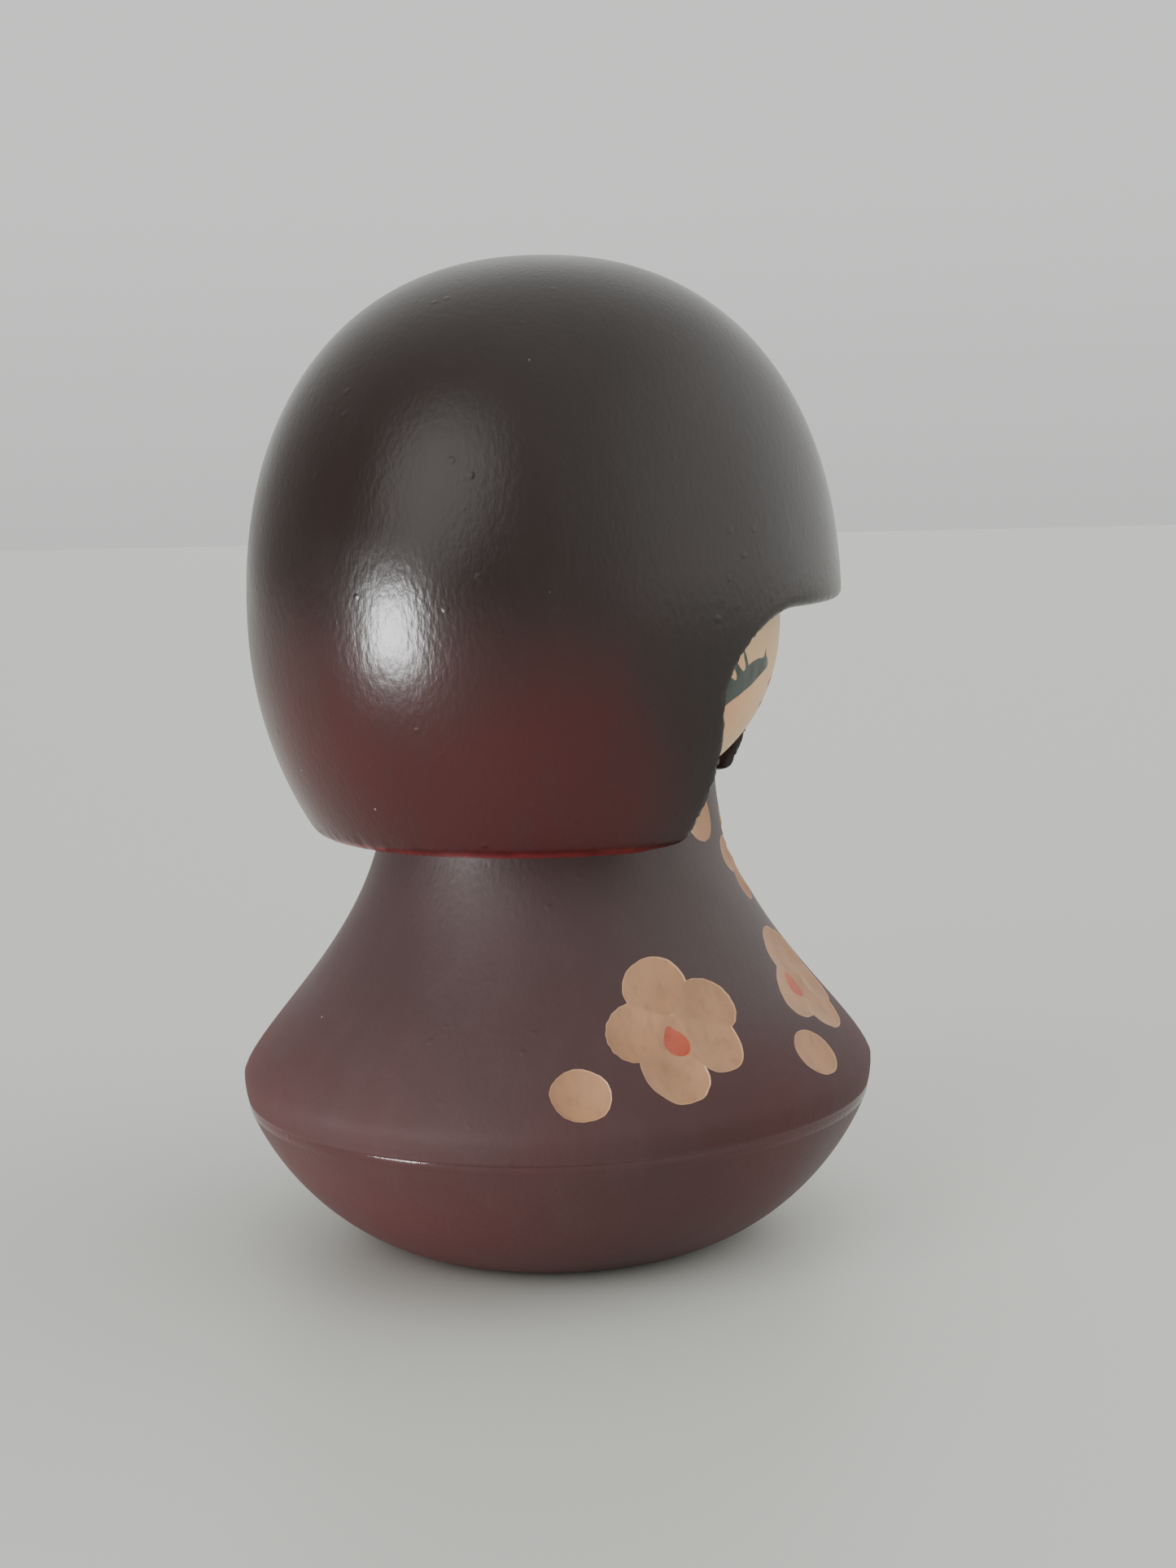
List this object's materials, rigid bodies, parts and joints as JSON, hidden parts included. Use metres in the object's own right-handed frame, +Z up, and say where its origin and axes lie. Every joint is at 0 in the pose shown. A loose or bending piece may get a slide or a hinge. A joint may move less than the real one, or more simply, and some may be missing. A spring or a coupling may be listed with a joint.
{
  "type": "kokeshi doll",
  "caption": "Turned wooden kokeshi doll: a bell-shaped lacquered body with carved blossoms, and a round head under a smooth bobbed hair cap that turns on a dowel.",
  "frame": {"origin": "centre of the flat foot's underside", "axes": "+Z up along the doll's turning axis; the face looks along -Y, so the doll's right side is on -X"},
  "size_m": [0.0652, 0.0652, 0.1001],
  "materials": {
    "body_lacquer": "satin lacquer, brown-black with maroon showing through",
    "dowel_wood": "bare turned wood",
    "face_wood": "natural wood, lightly waxed",
    "hair_lacquer": "gloss lacquer, brown-black with maroon near the rim"
  },
  "bodies": {
    "body": {"body": "body_lacquer", "neck_dowel": "dowel_wood"},
    "head": {"head_ball": "face_wood", "hair_cap": "hair_lacquer"}
  },
  "joints": [
    {"name": "head_turn", "type": "hinge", "parent": "body", "child": "head", "pos_m": [0, 0, 0.055], "axis": [0, 0, 1], "continuous": true}
  ]
}
